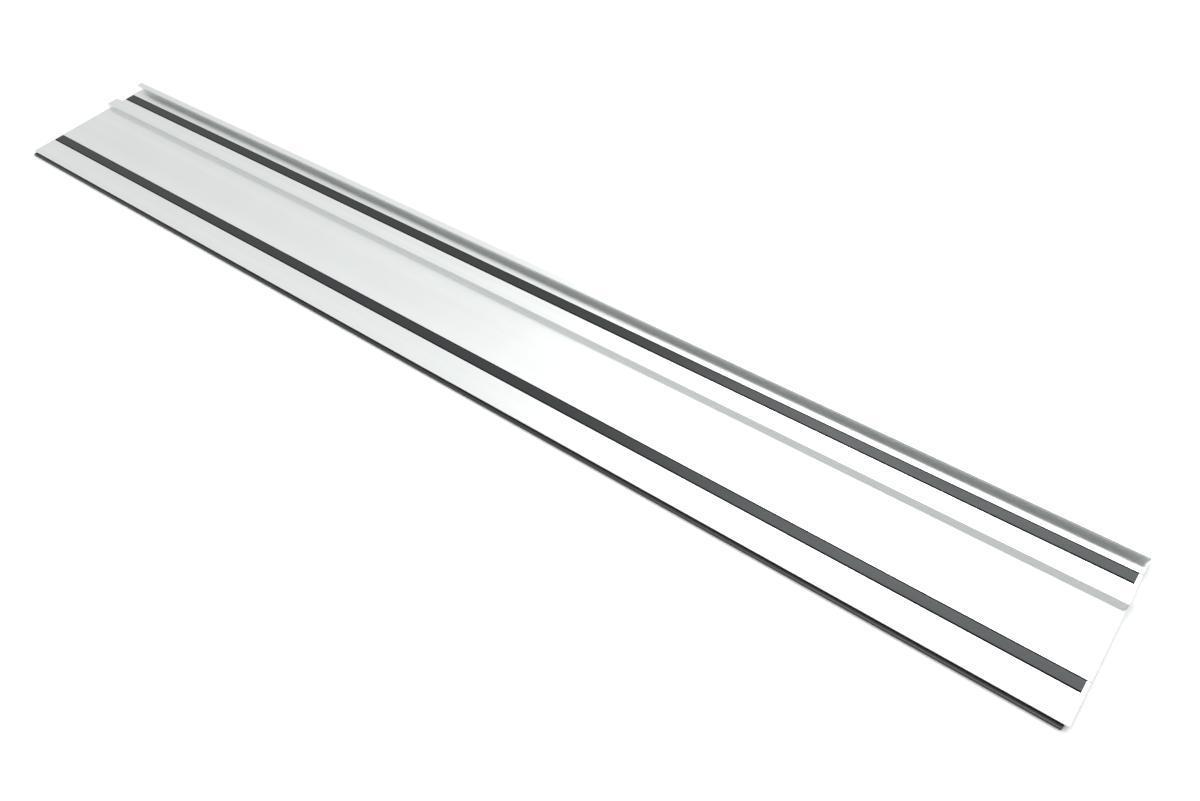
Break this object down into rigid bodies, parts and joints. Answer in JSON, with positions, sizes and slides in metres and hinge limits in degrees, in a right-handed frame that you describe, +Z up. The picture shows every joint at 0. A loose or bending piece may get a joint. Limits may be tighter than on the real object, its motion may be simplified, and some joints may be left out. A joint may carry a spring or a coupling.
{
  "type": "track saw guide rail",
  "caption": "Aluminium guide rail for a track plunge saw, with a guide rib, low-friction strips, a rubber splinter guard and foam grip strips.",
  "frame": {"origin": "bottom centre of the whole rail, on the surface that it lies on", "axes": "+X along the rail, -Y towards the splinter guard and the cutting edge, +Y towards the rear upstand, +Z up"},
  "size_m": [1.4, 0.183, 0.0142],
  "materials": {
    "anodised_aluminium": "satin",
    "glide_plastic": "satin",
    "guard_rubber": "matt",
    "grip_foam": "matt",
    "adhesive_film": "matt"
  },
  "bodies": {
    "root": {"rail_extrusion": "anodised_aluminium", "front_glide_strip": "glide_plastic", "rear_glide_strip": "glide_plastic", "front_glide_adhesive": "adhesive_film", "rear_glide_adhesive": "adhesive_film", "splinter_guard": "guard_rubber", "splinter_guard_adhesive": "adhesive_film", "front_grip_strip": "grip_foam", "rear_grip_strip": "grip_foam", "front_grip_adhesive": "adhesive_film", "rear_grip_adhesive": "adhesive_film"}
  },
  "joints": []
}
